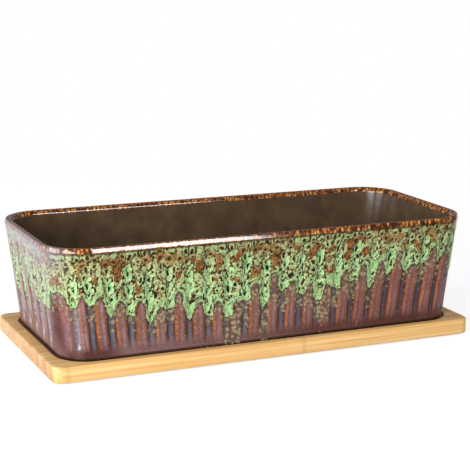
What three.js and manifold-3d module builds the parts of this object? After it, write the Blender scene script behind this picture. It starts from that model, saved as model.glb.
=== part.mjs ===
// A rectangular fluted ceramic planter that stands in a shallow recess of a bamboo tray.
// Millimetres, +Z up, the planter's length along X and its front towards -Y.
// The origin lies on the table, under the middle of the tray.

import * as THREE from 'three';
import { mergeVertices } from 'three/addons/utils/BufferGeometryUtils.js';
import Module from 'manifold-3d';

// Bamboo tray
const trayLength = 278;
const trayWidth = 123;
const trayThickness = 10;
const trayCornerRadius = 4.5;
const trayEdgeRadius = 1.2;
const recessDepth = 2;
const recessClearance = 1.2;
const recessChamfer = 0.4;

// Rubber pads under the tray
const padDiameter = 12;
const padHeight = 1.5;
const padInset = 16;
const padChamfer = 0.3;

// Outline of the pot: sharp foot line and widest line of the wall under the lip
const potHeight = 68.5;
const footLength = 260;
const footWidth = 110.5;
const footCornerRadius = 18.5;
const rimLength = 279;
const rimWidth = 119;
const rimCornerRadius = 25;

// Section of the pot's wall, floor and foot ring
const wallThickness = 5;
const floorThickness = 4;
const footRingHeight = 2;
const footRingWidth = 7;
const footEdgeRadius = 2;
const footRingDraft = 0.5;
const floorFilletRadius = 6;
const lipHeight = 4.4;
const lipBulge = 0.5;
const lipRoundShare = 0.6;
const lipNeckShare = 0.7;

// Flutes: raised flat ribs with round-bottomed grooves between them. The outermost rib at each end
// of a long side is narrower than the others.
const ribPitch = 11.8;
const outerRibPitch = 8.7;
const endRibPitch = 14.375;
const grooveHalfWidth = 3.8;
const endGrooveHalfWidth = 4.6;
const grooveDepth = 1.5;
const flutesPastCorner = 9.2;
const plainStripOnEnds = 8;
const plainBandAboveFoot = 4;
const plainBandUnderLip = 2.6;
const fluteFade = 7;
const halfFaded = { height: 0.45, depth: 0.55 };

// Drain holes and the mesh screens that lie over them
const drainHoles = 3;
const drainSpacing = 78;
const drainDiameter = 10;
const screenSize = 28;
const screenCornerRadius = 3;
const screenThickness = 0.8;
const screenGaps = 6;
const screenStrand = 1.4;

// Pieces that rest on each other keep this small gap
const seatGap = 0.3;

// Fineness of the faceted surfaces
const cornerSteps = 8;
const plainCornerSteps = 4;
const padSides = 32;
const drainSides = 28;
const lipSteps = 8;
const edgeSteps = 3;

// Cutters reach past the faces that they cut by this much
const cutterOverrun = 4;

// Points nearer than this are one point
const mergeDistance = 1e-4;

// Heights of the stacked pieces
const trayBottom = padHeight + seatGap;
const trayTop = trayBottom + trayThickness;
const recessFloor = trayTop - recessDepth;
const potBottom = recessFloor + seatGap;
const potFloorTop = potBottom + footRingHeight + floorThickness;
const screenBottom = potFloorTop + seatGap;

// Half a groove, from its centre to its shoulder: [share of its half width, share of its depth]
const grooveProfile = [
  [0, 1],
  [0.34, 0.84],
  [0.66, 0.2],
  [1, 0],
];

const wasm = await Module();
wasm.setup();

// A rounded rectangle is { length, width, radius }. It has four sides, counted from the front
// the way round that is anticlockwise from above. Distance runs along a side from its middle,
// and may go on round the corner.
function pointOnSide(outline, side, distance) {
  const alongX = side % 2 === 0;
  const sideLength = alongX ? outline.length : outline.width;
  const reach = (alongX ? outline.width : outline.length) / 2;
  const straight = sideLength / 2 - outline.radius;
  const past = Math.max(0, Math.abs(distance) - straight);
  const angle = past / outline.radius;
  const sign = Math.sign(distance);
  const along = sign * (Math.min(Math.abs(distance), straight) + outline.radius * Math.sin(angle));
  const local = new THREE.Vector2(along, -reach + outline.radius * (1 - Math.cos(angle)));
  const normal = new THREE.Vector2(sign * Math.sin(angle), -Math.cos(angle));
  const origin = new THREE.Vector2(0, 0);
  const turn = side * Math.PI / 2;
  return { point: local.rotateAround(origin, turn), normal: normal.rotateAround(origin, turn) };
}

function inset(outline, amount) {
  return {
    length: outline.length - 2 * amount,
    width: outline.width - 2 * amount,
    radius: outline.radius - amount,
  };
}

// Distances from the middle of a side to the centres of its grooves, at the foot
function grooveCentres(alongX) {
  const straight = (alongX ? footLength : footWidth) / 2 - footCornerRadius;
  const reach = straight + (alongX ? flutesPastCorner : -plainStripOnEnds);
  const innerReach = reach - (alongX ? outerRibPitch : endRibPitch);
  const ribs = Math.max(1, Math.round(2 * innerReach / (alongX ? ribPitch : endRibPitch)));
  const centres = [-reach, reach];
  for (let groove = 0; groove <= ribs; groove += 1) {
    centres.splice(-1, 0, innerReach * (2 * groove / ribs - 1));
  }
  return centres;
}

// Distances along a side where the loop has points, with each point's share of the groove's depth.
// The corner arcs belong to the front and back sides.
function stationsOnSide(outline, side, fluteDepth) {
  const alongX = side % 2 === 0;
  const straight = (alongX ? outline.length : outline.width) / 2 - outline.radius;
  const arc = outline.radius * Math.PI / 2;
  const stations = [];
  if (fluteDepth === null) {
    if (alongX) {
      for (let step = 0; step <= cornerSteps; step += 1) {
        stations.push([straight + arc * step / cornerSteps, 0]);
      }
      const mirrored = stations.map(([distance]) => [-distance, 0]).reverse();
      return [...mirrored, ...stations];
    }
    return stations;
  }
  const growth = alongX ? outline.length / footLength : outline.width / footWidth;
  const half = (alongX ? grooveHalfWidth : endGrooveHalfWidth) * growth;
  const centres = grooveCentres(alongX).map((centre) => centre * growth);
  for (const centre of centres) {
    for (const [share, depth] of grooveProfile.slice(1).reverse()) {
      stations.push([centre - share * half, depth]);
    }
    for (const [share, depth] of grooveProfile) {
      stations.push([centre + share * half, depth]);
    }
  }
  if (alongX) {
    const last = centres[centres.length - 1] + half;
    const end = straight + arc;
    for (let step = 1; step <= plainCornerSteps; step += 1) {
      const distance = last + (end - last) * step / plainCornerSteps;
      stations.push([distance, 0]);
      stations.unshift([-distance, 0]);
    }
  }
  return stations;
}

// One closed loop of points at a height. fluteDepth null leaves the flutes' points out.
function loopAt(outline, z, fluteDepth = null) {
  const points = [];
  for (let side = 0; side < 4; side += 1) {
    for (const [distance, depth] of stationsOnSide(outline, side, fluteDepth)) {
      const { point, normal } = pointOnSide(outline, side, distance);
      const sunk = depth * (fluteDepth ?? 0);
      points.push(new THREE.Vector3(point.x - normal.x * sunk, point.y - normal.y * sunk, z));
    }
  }
  return points;
}

function sharesRound(loop) {
  const shares = [0];
  for (let i = 0; i < loop.length; i += 1) {
    const next = loop[(i + 1) % loop.length];
    shares.push(shares[i] + loop[i].distanceTo(next));
  }
  const total = shares[loop.length];
  return shares.map((share) => share / total);
}

// A closed skin from the middle of the first loop, over every loop, to the middle of the last
function skinOver(loops) {
  const positions = [];
  const triangle = (a, b, c) => positions.push(...a, ...b, ...c);
  const cap = (loop, facingUp) => {
    const middle = new THREE.Vector3(0, 0, loop[0].z);
    loop.forEach((point, i) => {
      const next = loop[(i + 1) % loop.length];
      if (facingUp) {
        triangle(point, next, middle);
      } else {
        triangle(middle, next, point);
      }
    });
  };
  const band = (lower, upper) => {
    const alike = lower.length === upper.length;
    const lowerShares = sharesRound(lower);
    const upperShares = sharesRound(upper);
    let i = 0;
    let j = 0;
    while (i < lower.length || j < upper.length) {
      const p = lower[i % lower.length];
      const q = upper[j % upper.length];
      const lowerNext = alike ? i <= j : lowerShares[i + 1] <= upperShares[j + 1];
      if (j >= upper.length || (i < lower.length && lowerNext)) {
        i += 1;
        triangle(p, lower[i % lower.length], q);
      } else {
        j += 1;
        triangle(p, upper[j % upper.length], q);
      }
    }
  };
  cap(loops[0], false);
  for (let k = 1; k < loops.length; k += 1) {
    band(loops[k - 1], loops[k]);
  }
  cap(loops[loops.length - 1], true);
  const geometry = new THREE.BufferGeometry();
  geometry.setAttribute('position', new THREE.Float32BufferAttribute(positions, 3));
  return geometry;
}

function toSolid(geometry) {
  const plain = geometry.clone();
  plain.deleteAttribute('normal');
  plain.deleteAttribute('uv');
  const merged = mergeVertices(plain, mergeDistance);
  return new wasm.Manifold(new wasm.Mesh({
    numProp: 3,
    vertProperties: new Float32Array(merged.attributes.position.array),
    triVerts: new Uint32Array(merged.index.array),
  }));
}

function toGeometry(solid) {
  const mesh = solid.getMesh();
  const geometry = new THREE.BufferGeometry();
  geometry.setAttribute('position', new THREE.BufferAttribute(new Float32Array(mesh.vertProperties), 3));
  geometry.setIndex(new THREE.BufferAttribute(new Uint32Array(mesh.triVerts), 1));
  geometry.computeVertexNormals();
  return geometry;
}

function standUp(geometry) {
  return geometry.rotateX(Math.PI / 2);
}

// Quarter turn of a rounded edge: [inset from the face, height from the edge] at each step
function quarterRound(radius, steps) {
  const turns = [];
  for (let step = 0; step <= steps; step += 1) {
    const angle = Math.PI / 2 * step / steps;
    turns.push([radius * (1 - Math.sin(angle)), radius * (1 - Math.cos(angle))]);
  }
  return turns;
}

// The pot's outer outline at a height above its foot, without flutes
function potOutline(height) {
  const share = height / potHeight;
  return {
    length: footLength + (rimLength - footLength) * share,
    width: footWidth + (rimWidth - footWidth) * share,
    radius: footCornerRadius + (rimCornerRadius - footCornerRadius) * share,
  };
}

function makePot() {
  const loops = [];
  const ring = (insetBy, height, flutes = null) => {
    loops.push(loopAt(inset(potOutline(height), insetBy), potBottom + height, flutes));
  };
  ring(footEdgeRadius + footRingWidth + footRingDraft, footRingHeight);
  ring(footEdgeRadius + footRingWidth, 0);
  for (const [insetBy, height] of quarterRound(footEdgeRadius, edgeSteps)) {
    ring(insetBy, height);
  }
  const lipStart = potHeight - lipHeight;
  const flutesStart = footEdgeRadius + plainBandAboveFoot;
  const flutesEnd = lipStart - plainBandUnderLip;
  ring(0, flutesStart, 0);
  ring(0, flutesStart + fluteFade * halfFaded.height, grooveDepth * halfFaded.depth);
  ring(0, flutesStart + fluteFade, grooveDepth);
  ring(0, flutesEnd - fluteFade, grooveDepth);
  ring(0, flutesEnd - fluteFade * halfFaded.height, grooveDepth * halfFaded.depth);
  ring(0, flutesEnd, 0);
  ring(0, lipStart);
  const lipHalf = wallThickness / 2;
  const lipRound = lipHalf + lipBulge;
  const lipRise = lipHeight * lipRoundShare;
  ring(-lipBulge * lipNeckShare, (lipStart + potHeight - lipRise) / 2);
  for (let step = 0; step <= lipSteps; step += 1) {
    const angle = Math.PI * step / lipSteps;
    const outward = Math.cos(angle) * (step < lipSteps / 2 ? lipRound : lipHalf);
    ring(lipHalf - outward, potHeight - lipRise + lipRise * Math.sin(angle));
  }
  const floorHeight = footRingHeight + floorThickness;
  for (const [insetBy, height] of quarterRound(floorFilletRadius, edgeSteps).reverse()) {
    ring(wallThickness + insetBy, floorHeight + height);
  }
  let pot = toSolid(skinOver(loops));
  for (let hole = 0; hole < drainHoles; hole += 1) {
    const radius = drainDiameter / 2;
    const drill = new THREE.CylinderGeometry(radius, radius, floorThickness + 2 * cutterOverrun, drainSides);
    standUp(drill).translate(drainPlace(hole), 0, potBottom + footRingHeight + floorThickness / 2);
    pot = pot.subtract(toSolid(drill));
  }
  return toGeometry(pot);
}

function drainPlace(hole) {
  return (hole - (drainHoles - 1) / 2) * drainSpacing;
}

function makeTray() {
  const board = { length: trayLength, width: trayWidth, radius: trayCornerRadius };
  const seat = inset(potOutline(recessDepth), -recessClearance);
  const edge = quarterRound(trayEdgeRadius, edgeSteps);
  const loops = [];
  for (const [insetBy, height] of edge) {
    loops.push(loopAt(inset(board, insetBy), trayBottom + height));
  }
  for (const [insetBy, height] of [...edge].reverse()) {
    loops.push(loopAt(inset(board, insetBy), trayTop - height));
  }
  loops.push(loopAt(inset(seat, -recessChamfer), trayTop));
  loops.push(loopAt(seat, trayTop - recessChamfer));
  loops.push(loopAt(seat, recessFloor));
  return mergeVertices(skinOver(loops), mergeDistance);
}

function makePad() {
  const radius = padDiameter / 2;
  const profile = [
    new THREE.Vector2(0, 0),
    new THREE.Vector2(radius - padChamfer, 0),
    new THREE.Vector2(radius, padChamfer),
    new THREE.Vector2(radius, padHeight),
    new THREE.Vector2(0, padHeight),
  ];
  return standUp(new THREE.LatheGeometry(profile, padSides));
}

function makeScreen() {
  const square = { length: screenSize, width: screenSize, radius: screenCornerRadius };
  const shape = new THREE.Shape(loopAt(square, 0).map((point) => new THREE.Vector2(point.x, point.y)));
  const plate = new THREE.ExtrudeGeometry(shape, { depth: screenThickness, bevelEnabled: false });
  let screen = toSolid(plate);
  const pitch = (screenSize - screenStrand) / screenGaps;
  const gap = pitch - screenStrand;
  for (let column = 0; column < screenGaps; column += 1) {
    for (let row = 0; row < screenGaps; row += 1) {
      const cutter = new THREE.BoxGeometry(gap, gap, screenThickness + 2 * cutterOverrun);
      const x = (column - (screenGaps - 1) / 2) * pitch;
      const y = (row - (screenGaps - 1) / 2) * pitch;
      screen = screen.subtract(toSolid(cutter.translate(x, y, screenThickness / 2)));
    }
  }
  return toGeometry(screen);
}

const glaze = new THREE.MeshStandardMaterial({ color: 0x82796c, roughness: 0.22, metalness: 0 });
const bamboo = new THREE.MeshStandardMaterial({ color: 0xe6bd7e, roughness: 0.5, metalness: 0 });
const rubber = new THREE.MeshStandardMaterial({ color: 0x2b2a29, roughness: 0.85, metalness: 0 });
const netting = new THREE.MeshStandardMaterial({ color: 0x3d4438, roughness: 0.6, metalness: 0 });

function addMesh(parent, name, geometry, material) {
  const mesh = new THREE.Mesh(geometry, material);
  mesh.name = name;
  parent.add(mesh);
  return mesh;
}

const planter = new THREE.Group();

const trayGroup = new THREE.Group();
addMesh(trayGroup, 'bamboo_tray', makeTray(), bamboo);
for (const [endName, endSign] of [['left', -1], ['right', 1]]) {
  for (const [faceName, faceSign] of [['front', -1], ['back', 1]]) {
    const pad = addMesh(trayGroup, `tray_pad_${faceName}_${endName}`, makePad(), rubber);
    pad.position.set(endSign * (trayLength / 2 - padInset), faceSign * (trayWidth / 2 - padInset), 0);
  }
}
planter.add(trayGroup);

const potGroup = new THREE.Group();
addMesh(potGroup, 'ceramic_pot', makePot(), glaze);
for (let hole = 0; hole < drainHoles; hole += 1) {
  const screen = addMesh(potGroup, `drain_screen_${hole + 1}`, makeScreen(), netting);
  screen.position.set(drainPlace(hole), 0, screenBottom);
}
planter.add(potGroup);

export default planter;
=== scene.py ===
# A rectangular fluted planter in a runny reactive glaze, standing in its bamboo tray.
# Sizes are in millimetres, in the CAD model's frame: length along X, front towards -Y, +Z up.
# A finished mesh is scaled to metres.

import math
import random
from types import SimpleNamespace

import bmesh
import bpy
import numpy as np
from mathutils import Matrix, Vector, noise


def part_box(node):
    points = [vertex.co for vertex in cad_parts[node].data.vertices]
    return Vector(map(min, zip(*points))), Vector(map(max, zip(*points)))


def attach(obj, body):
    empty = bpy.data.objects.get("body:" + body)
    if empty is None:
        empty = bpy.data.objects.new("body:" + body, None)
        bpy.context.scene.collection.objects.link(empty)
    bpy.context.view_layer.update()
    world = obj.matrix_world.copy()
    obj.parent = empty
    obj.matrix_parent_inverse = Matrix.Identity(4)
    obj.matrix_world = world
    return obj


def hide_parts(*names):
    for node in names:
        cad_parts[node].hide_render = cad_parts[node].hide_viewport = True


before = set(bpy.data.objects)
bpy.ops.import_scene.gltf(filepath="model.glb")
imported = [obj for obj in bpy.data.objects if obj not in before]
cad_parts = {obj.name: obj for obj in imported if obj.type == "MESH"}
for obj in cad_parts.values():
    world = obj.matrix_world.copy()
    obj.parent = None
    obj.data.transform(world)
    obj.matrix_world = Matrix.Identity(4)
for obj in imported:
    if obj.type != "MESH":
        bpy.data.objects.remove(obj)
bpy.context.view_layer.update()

MM = 0.001

# The pot's outer outline at its foot and at its rim: length, width and corner radius
FOOT_OUTLINE = (260.0, 110.5, 18.5)
RIM_OUTLINE = (279.0, 119.0, 25.0)
POT_HEIGHT = 68.5
POT_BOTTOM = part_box("ceramic_pot")[0].z / MM

# The pot's section
WALL = 5.0
FLOOR_HEIGHT = 6.0
FLOOR_FILLET = 6.0
FOOT_RING_WIDTH = 7.0
FOOT_RING_HEIGHT = 2.0
FOOT_RING_DRAFT = 0.5
FOOT_EDGE = 2.0
LIP_HEIGHT = 3.3
LIP_START = POT_HEIGHT - LIP_HEIGHT
LIP_BULGE = 0.35

# The lip's round stretches from outside to inside: radius, and the slopes at which it starts and ends
LIP_FACE = (34.0, 20, 24)
LIP_OUTER = (0.6, 24, 90)
LIP_INNER = (2.6, 90, 180)
LIP_FACE_START = 65.93

# The flutes: where the grooves lie along a long side and along an end, at the foot, half their width,
# and the margin beyond the outermost ones
LONG_GROOVES = np.concatenate([[-120.7], np.linspace(-112.0, 112.0, 20), [120.7]])
END_GROOVES = np.linspace(-28.75, 28.75, 5)
LONG_GROOVE_HALF = 3.3
END_GROOVE_HALF = 4.0
FLUTE_MARGIN = 6.0
GROOVE_DEPTH = 1.5
GROOVE_FLAT = 0.18
FLUTES_START = 6.0
FLUTES_END = 61.5
FLUTE_FADE = 7.0

# The glaze: how pointed its tongues are, how round their sides (1 is straight, 2 an ellipse), and the
# width of the outlines of its scales
TIP_SHARPNESS = 2.3
TIP_ROUNDNESS = 1.3
SCALE_OUTLINE = 0.55

# The heights between which the stripes set in, along a long side and along an end
LONG_STRIPES = (2.0, 9.5)
END_STRIPES = (1.0, 6.0)

# How far the runs, the middles of their scales and the eyes stand up from the bare wall, and how far that
# lies inside the pot's outline
RUN_RELIEF = 0.32
SCALE_RELIEF = 0.16
EYE_RELIEF = -0.2
WALL_INSET = 0.3

# Drain holes and the mesh screens over them
DRAIN_HOLES = 3
DRAIN_SPACING = 78.0
DRAIN_RADIUS = 5.0
DRAIN_SIDES = 48
SCREEN_GAPS = 6
SCREEN_STRAND = 1.4
SCREEN_CORNER_CUT = 1.8

# The tray
TRAY_CORNER = 6.2
TRAY_EDGE = 1.2
RECESS_DEPTH = 2.0
RECESS_CLEARANCE = 1.2
RECESS_CHAMFER = 0.4

# The tray's bamboo strips, and how far apart a strip's knuckles lie
STRIP_WIDTH = 19.0
KNUCKLE_SPACING = 150.0

# The pads under the tray
PAD_SIDES = 48
PAD_EDGE = 0.4

# Fineness of the pot's mesh
LONG_SIDE_STEP = 0.84
END_STEP = 0.9
CORNER_STEPS = 11
WALL_RINGS = 68
LIP_STEPS = 7

# The unglazed foot ring ends at this ring of the pot's mesh, counted from 0
LAST_CLAY_RING = 3

# How far the green runs come down the front's grooves, and how high the bare ribs reach up
# between them, above the foot and from left to right, as read from the photograph
FRONT_TIPS = [34, 33, 27, 30, 20, 29, 20, 24, 19, 30, 21, 31, 34, 31, 33, 36, 27, 35, 35, 38, 40, 46]
FRONT_ARCHES = [41, 40, 36, 34, 30, 38, 31, 30, 28, 38, 44, 38, 34, 34, 40, 43, 45, 50, 41, 51, 51]

# The grooves and ribs where thin glaze ran on furthest below the runs
THIN_RUNS = range(8, 17)

# The numbers that the pot's vertices carry for its glaze, one of them the share of a painted highlight in the
# grooves
GLAZE_FIELDS = (
    "glaze_cover", "thin_cover", "scale", "scale_eye", "scale_colour", "flute_cosine", "flute_sine",
    "pale_groove", "pot_height", "pot_inside", "pot_lip",
)


def linear(hex_colour):
    """An sRGB colour such as 'b4d8a0' as linear RGBA."""
    channels = [int(hex_colour[i:i + 2], 16) / 255 for i in (0, 2, 4)]
    return tuple(c / 12.92 if c <= 0.04045 else ((c + 0.055) / 1.055) ** 2.4 for c in channels) + (1.0,)


def smoothstep(low, high, value):
    share = np.clip((value - low) / (high - low), 0.0, 1.0)
    return share * share * (3 - 2 * share)


def outline_at(height, inset=0.0):
    """Length, width and corner radius of the pot's outline at a height above its foot."""
    share = height / POT_HEIGHT
    length, width, radius = (foot + (rim - foot) * share for foot, rim in zip(FOOT_OUTLINE, RIM_OUTLINE))
    return length - 2 * inset, width - 2 * inset, radius - inset


# The pot's stations are its vertical lines of points. Each belongs to a side, counted from the front
# the way round that is anticlockwise from above, and lies at a distance from the side's middle.

def side_reach(outline):
    """Half the length of a long side with its corner arcs, and half the straight of an end."""
    length, width, radius = outline
    return length / 2 - radius + radius * math.pi / 2, width / 2 - radius


def grooves_of(side):
    """The places of a side's grooves, and half a groove's width."""
    return (LONG_GROOVES, LONG_GROOVE_HALF) if side % 2 == 0 else (END_GROOVES, END_GROOVE_HALF)


def fluted_distances(grooves, step):
    """Distances across a side's flutes, evenly spaced from each groove to the next."""
    stops = [grooves[0] - FLUTE_MARGIN, *grooves, grooves[-1] + FLUTE_MARGIN]
    lines = [np.linspace(a, b, round((b - a) / step), endpoint=False) for a, b in zip(stops, stops[1:])]
    return np.append(np.concatenate(lines), stops[-1])


def make_stations():
    front_end, side_end = side_reach(FOOT_OUTLINE)
    front_field = LONG_GROOVES[-1] + FLUTE_MARGIN
    end_field = END_GROOVES[-1] + FLUTE_MARGIN
    corner = np.linspace(front_field, front_end, CORNER_STEPS + 1)[1:]
    front = np.concatenate([-corner[::-1], fluted_distances(LONG_GROOVES, LONG_SIDE_STEP), corner])
    end = fluted_distances(END_GROOVES, END_STEP)
    sides = [front, end, front, end]
    side = np.concatenate([np.full(len(line), number) for number, line in enumerate(sides)])
    distance = np.concatenate(sides)
    middles = np.array([0, front_end + side_end, 2 * (front_end + side_end), -(front_end + side_end)])
    along_x = side % 2 == 0
    return {
        "side": side,
        "distance": distance,
        "along": middles[side] + distance,
        "around": 4 * (front_end + side_end),
        "along_x": along_x,
        "field": np.where(along_x, front_field, end_field),
        "end": np.where(along_x, front_end, side_end),
    }


STATIONS = make_stations()


def flute_shares():
    """How deep in a groove each station lies, from 0 to 1, and its turn: a vector that goes once
    round from one groove to the next and shrinks to nothing at the plain corners."""
    depth = np.zeros(len(STATIONS["side"]))
    cosine = depth.copy()
    sine = depth.copy()
    for side in range(4):
        grooves, half = grooves_of(side)
        own = STATIONS["side"] == side
        distance = STATIONS["distance"][own]
        beside = np.abs(distance[:, None] - grooves[None, :]).min(axis=1)
        stops = [grooves[0] - FLUTE_MARGIN, *grooves, grooves[-1] + FLUTE_MARGIN]
        turn = 2 * math.pi * np.interp(distance, stops, [-0.5, *range(len(grooves)), len(grooves) - 0.5])
        fade_start, fade_end = (1.1, 2.0) if side % 2 == 0 else (0.4, 0.95)
        past = (np.abs(distance) - grooves[-1]) / FLUTE_MARGIN
        presence = 1 - smoothstep(fade_start, fade_end, past)
        depth[own] = 1 - smoothstep(GROOVE_FLAT * half, half, beside)
        cosine[own] = presence * np.cos(turn)
        sine[own] = presence * np.sin(turn)
    return depth, cosine, sine


FLUTE_DEPTH, FLUTE_COSINE, FLUTE_SINE = flute_shares()


def wall_ring(height, inset=0.0, fluting=0.0, relief=0.0):
    """The stations' points at a height, with the outline moved inwards and the surface raised by the
    relief."""
    s = STATIONS
    length, width, radius = outline_at(height, inset)
    side_length = np.where(s["along_x"], length, width)
    reach = np.where(s["along_x"], width, length) / 2
    straight = side_length / 2 - radius
    front_end, side_end = side_reach((length, width, radius))
    end = np.where(s["along_x"], front_end, side_end)
    growth = side_length / np.where(s["along_x"], FOOT_OUTLINE[0], FOOT_OUTLINE[1])
    field = s["field"] * growth
    size = np.abs(s["distance"])
    past_field = (size - s["field"]) / np.maximum(s["end"] - s["field"], 1e-6)
    distance = np.where(size <= s["field"] + 1e-9, size * growth, field + past_field * (end - field))
    angle = np.maximum(0, distance - straight) / radius
    sign = np.sign(s["distance"])
    along = sign * (np.minimum(distance, straight) + radius * np.sin(angle))
    across = -reach + radius * (1 - np.cos(angle))
    out_along = sign * np.sin(angle)
    out_across = -np.cos(angle)
    raised = relief - GROOVE_DEPTH * fluting * FLUTE_DEPTH
    along = along + out_along * raised
    across = across + out_across * raised
    turn = s["side"] * math.pi / 2
    x = along * np.cos(turn) - across * np.sin(turn)
    y = along * np.sin(turn) + across * np.cos(turn)
    return np.column_stack([x, y, np.full(len(x), POT_BOTTOM + height)])


def fluting_at(height):
    """The share of its depth that a groove has at a height: it fades out at both ends."""
    rise = smoothstep(FLUTES_START, FLUTES_START + FLUTE_FADE, height)
    fall = 1 - smoothstep(FLUTES_END - FLUTE_FADE, FLUTES_END, height)
    return rise * fall


def lip_section():
    """Heights and insets over the lip: a gently curved outer face, a rounded top and the inner edge."""
    section = []
    height, inset = LIP_FACE_START, -LIP_BULGE
    for radius, start, end in (LIP_FACE, LIP_OUTER, LIP_INNER):
        start, end = math.radians(start), math.radians(end)
        if radius == LIP_INNER[0]:
            height, inset = POT_HEIGHT, WALL - radius
        for slope in np.linspace(start, end, LIP_STEPS):
            rise = radius * (math.sin(slope) - math.sin(start))
            section.append((height + rise, inset + radius * (math.cos(start) - math.cos(slope))))
        height, inset = section.pop()
    return section + [(height, inset)]


def pot_section():
    """The pot's section from under its floor, over the foot, wall and lip, to the floor inside:
    height, inset from the outer outline, and which part of the surface it is."""
    rings = [
        (FOOT_RING_HEIGHT, FOOT_EDGE + FOOT_RING_WIDTH + FOOT_RING_DRAFT, "under"),
        (0.0, FOOT_EDGE + FOOT_RING_WIDTH, "under"),
    ]
    for turn in np.linspace(0, math.pi / 2, 5):
        rings.append((FOOT_EDGE * (1 - math.cos(turn)), FOOT_EDGE * (1 - math.sin(turn)), "wall"))
    for height in np.linspace(FOOT_EDGE, LIP_START, WALL_RINGS + 1)[1:]:
        rings.append((height, 0.0, "wall"))
    rings += [(height, inset, "lip") for height, inset in lip_section()]
    for height in np.linspace(POT_HEIGHT - LIP_INNER[0] - 0.4, FLOOR_HEIGHT + FLOOR_FILLET, 10):
        rings.append((height, WALL, "inside"))
    for turn in np.linspace(0, math.pi / 2, 6)[1:]:
        height = FLOOR_HEIGHT + FLOOR_FILLET * (1 - math.sin(turn))
        rings.append((height, WALL + FLOOR_FILLET * (1 - math.cos(turn)), "inside"))
    return rings


def soft_noise(points, lump, seed):
    """Smooth noise from -1 to 1 at points in millimetres, with lumps of that size."""
    shift = Vector((seed * 31.7, seed * 17.3, seed * 5.1))
    values = [noise.noise(Vector(point) / lump + shift) for point in points.reshape(-1, 3)]
    return np.array(values).reshape(points.shape[:-1])


def groove_and_rib_places():
    """Where every groove and rib lies along the wall, and how high its glaze run ends.
    The front's heights are the photograph's. Those of the other sides are like them."""
    chance = random.Random(4)
    front_end, side_end = side_reach(FOOT_OUTLINE)
    half = front_end + side_end
    tips = []
    arches = []
    for side, middle in enumerate([0.0, half, 2 * half, -half]):
        grooves = grooves_of(side)[0]
        for number, groove in enumerate(grooves):
            height = FRONT_TIPS[number] if side == 0 else chance.uniform(19, 38)
            tips.append((middle + groove, height, chance.uniform(2.7, 3.4)))
        for number, (left, right) in enumerate(zip(grooves, grooves[1:])):
            height = FRONT_ARCHES[number] if side == 0 else chance.uniform(29, 51)
            arches.append((middle + (left + right) / 2, height, 0.27 * (right - left)))
        corner = middle + grooves[-1] + (half - LONG_GROOVES[-1] - END_GROOVES[-1]) / 2
        arches.append((corner + 4.1, chance.uniform(41, 44), 9.0))
        tips.append((corner - 7.5, chance.uniform(34, 38), 3.4))
    return tips, arches


def around_distance(along, place):
    """Signed distance round the wall from a place, the shorter way."""
    around = STATIONS["around"]
    return (along - place + around / 2) % around - around / 2


def covered_depth(along, height, tips, arches):
    """How far inside a curtain of glaze a point lies, in mm, negative where the wall is bare of it.
    The curtain hangs down in tongues to the tips, and the arches between them are bare."""
    tongue = np.full(along.shape, -50.0)
    for place, tip, half in tips:
        beside = np.abs(around_distance(along, place))
        below = np.maximum(0, tip + TIP_SHARPNESS * half - height) / TIP_SHARPNESS
        reach = (beside ** TIP_ROUNDNESS + below ** TIP_ROUNDNESS) ** (1 / TIP_ROUNDNESS)
        tongue = np.maximum(tongue, half - reach)
    curtain = np.full(along.shape, 50.0)
    for place, top, half in arches:
        beside = around_distance(along, place)
        above = np.maximum(0, height - (top - TIP_SHARPNESS * half)) / TIP_SHARPNESS
        curtain = np.minimum(curtain, np.hypot(beside, above) - half)
        near = np.abs(beside) < 3 * half
        curtain = np.where(near, np.minimum(curtain, height - (top - min(3 * half, 12))), curtain)
    blend = 1.2
    spread = np.clip(0.5 + (tongue - curtain) / (2 * blend), 0, 1)
    return curtain + (tongue - curtain) * spread + blend * spread * (1 - spread)


def rib_scales(arches, chance):
    """Scales in rows on the ribs: rusty here and there, and olive to mint elsewhere."""
    scales = []
    for level in np.arange(28.0, 58.0, 3.5):
        for place, top, _ in arches:
            if level < top - 3:
                continue
            rusty = chance.random() < (0.5 if level > 47 else 0.25)
            colour = chance.uniform(0.0, 0.2) if rusty else chance.uniform(0.45, 0.65 if level > 50 else 0.95)
            eye = (0, 0) if rusty else chance.choice(((0, 0), (0, 0), (1.7, 1.2), (0.9, 1.2)))
            middle = level + chance.uniform(-1.5, 1.5)
            across = place + chance.uniform(-1.6, 1.6)
            scales.append((across, middle, chance.uniform(2.2, 3.4), chance.uniform(2.4, 4.4), colour, eye))
    return scales


def groove_scales(tips, chance):
    """Long scales that run down the grooves as mint streams, less green near the lip."""
    scales = []
    for place, tip, _ in tips:
        middle = tip + chance.uniform(3.5, 5.0)
        while middle < 60:
            tall = chance.uniform(4.5, 8.5)
            colour = chance.choice((0.85, 0.95, 1.0, 1.0) if middle < 54 else (0.45, 0.6, 0.8, 1.0))
            eye = chance.choice(((0, 0), (0.8, 1.8), (0.8, 2.4), (0.6, 2.8)))
            across = place + chance.uniform(-1.0, 1.0)
            scales.append((across, middle, chance.uniform(2.1, 3.2), tall, colour, eye))
            middle += tall * chance.uniform(0.7, 1.1)
    return scales


def lip_scales(level, spacing, colours, tall, chance):
    """One row of round scales under the lip, all the way round the pot."""
    scales = []
    count = round(STATIONS["around"] / spacing)
    for number in range(count):
        place = (number + chance.uniform(-0.25, 0.25)) * STATIONS["around"] / count
        middle = level + chance.uniform(-1.0, 0.8)
        half = spacing * chance.uniform(0.42, 0.56)
        eye = chance.choice(((0, 0), (0.9, 0.9), (1.1, 0.8), (0.8, 1.2)))
        half_height = tall * chance.uniform(0.8, 1.15)
        scales.append((place, middle, half, half_height, chance.choice(colours), eye))
    return scales


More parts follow.
